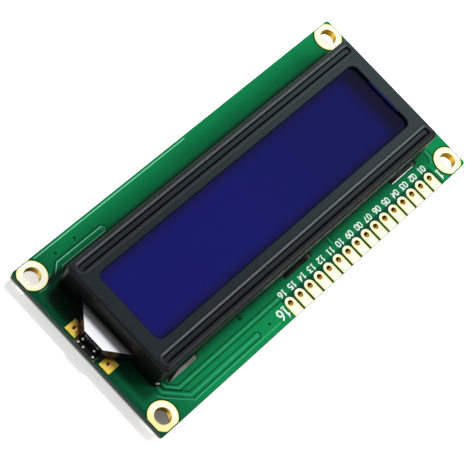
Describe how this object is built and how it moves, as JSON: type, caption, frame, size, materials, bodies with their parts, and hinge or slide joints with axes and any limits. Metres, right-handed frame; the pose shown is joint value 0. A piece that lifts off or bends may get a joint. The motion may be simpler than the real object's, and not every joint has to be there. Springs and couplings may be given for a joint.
{
  "type": "character lcd module",
  "caption": "Character LCD module: long blue display window in a black steel bezel on a green circuit board, with corner mounting holes and a row of plated header holes.",
  "frame": {"origin": "centre of the four mounting holes on the board's display face", "axes": "+X along the board from pin 1 to the backlight lamp, +Y towards the header row, +Z out of the display"},
  "size_m": [0.0802, 0.036, 0.0105],
  "materials": {
    "board_mask": "green solder mask over fibreglass, satin",
    "gold_plating": "gold flash over copper, bright",
    "bezel_paint": "black paint on steel, satin",
    "cell_glass": "clear, polished",
    "display_film": "deep blue display face, smooth",
    "rear_film": "dark polarising film",
    "contact_rubber": "striped silicone rubber",
    "tray_white": "white moulded plastic",
    "reflector_film": "white film",
    "diffuser_film": "milky film",
    "guide_acrylic": "clear acrylic",
    "lamp_resin": "clear resin over dark die pads",
    "terminal_solder": "bright solder",
    "chip_epoxy": "black epoxy",
    "resistor_body": "black film on white ceramic, tinned ends",
    "capacitor_body": "tan ceramic, tinned ends"
  },
  "bodies": {
    "root": {"backlight_tray": "tray_white", "bezel": "bezel_paint", "chip_capacitor_1": "capacitor_body", "chip_capacitor_2": "capacitor_body", "chip_capacitor_3": "capacitor_body", "chip_resistor_1": "resistor_body", "chip_resistor_2": "resistor_body", "chip_resistor_3": "resistor_body", "chip_resistor_4": "resistor_body", "chip_resistor_5": "resistor_body", "chip_resistor_6": "resistor_body", "chip_resistor_7": "resistor_body", "chip_resistor_8": "resistor_body", "circuit_board": "board_mask", "contact_strip_far_side": "contact_rubber", "contact_strip_header_side": "contact_rubber", "controller_blob": "chip_epoxy", "corner_ring_1": "gold_plating", "corner_ring_2": "gold_plating", "corner_ring_3": "gold_plating", "corner_ring_4": "gold_plating", "diffuser_sheet": "diffuser_film", "driver_blob": "chip_epoxy", "front_polariser": "display_film", "header_pad_01": "gold_plating", "header_pad_02": "gold_plating", "header_pad_03": "gold_plating", "header_pad_04": "gold_plating", "header_pad_05": "gold_plating", "header_pad_06": "gold_plating", "header_pad_07": "gold_plating", "header_pad_08": "gold_plating", "header_pad_09": "gold_plating", "header_pad_10": "gold_plating", "header_pad_11": "gold_plating", "header_pad_12": "gold_plating", "header_pad_13": "gold_plating", "header_pad_14": "gold_plating", "header_pad_15": "gold_plating", "header_pad_16": "gold_plating", "lamp_body": "lamp_resin", "lamp_pad_1": "gold_plating", "lamp_pad_2": "gold_plating", "lamp_terminal_1": "terminal_solder", "lamp_terminal_2": "terminal_solder", "light_guide": "guide_acrylic", "lower_glass": "cell_glass", "rear_polariser": "rear_film", "reflector_sheet": "reflector_film", "upper_glass": "cell_glass"}
  },
  "joints": []
}
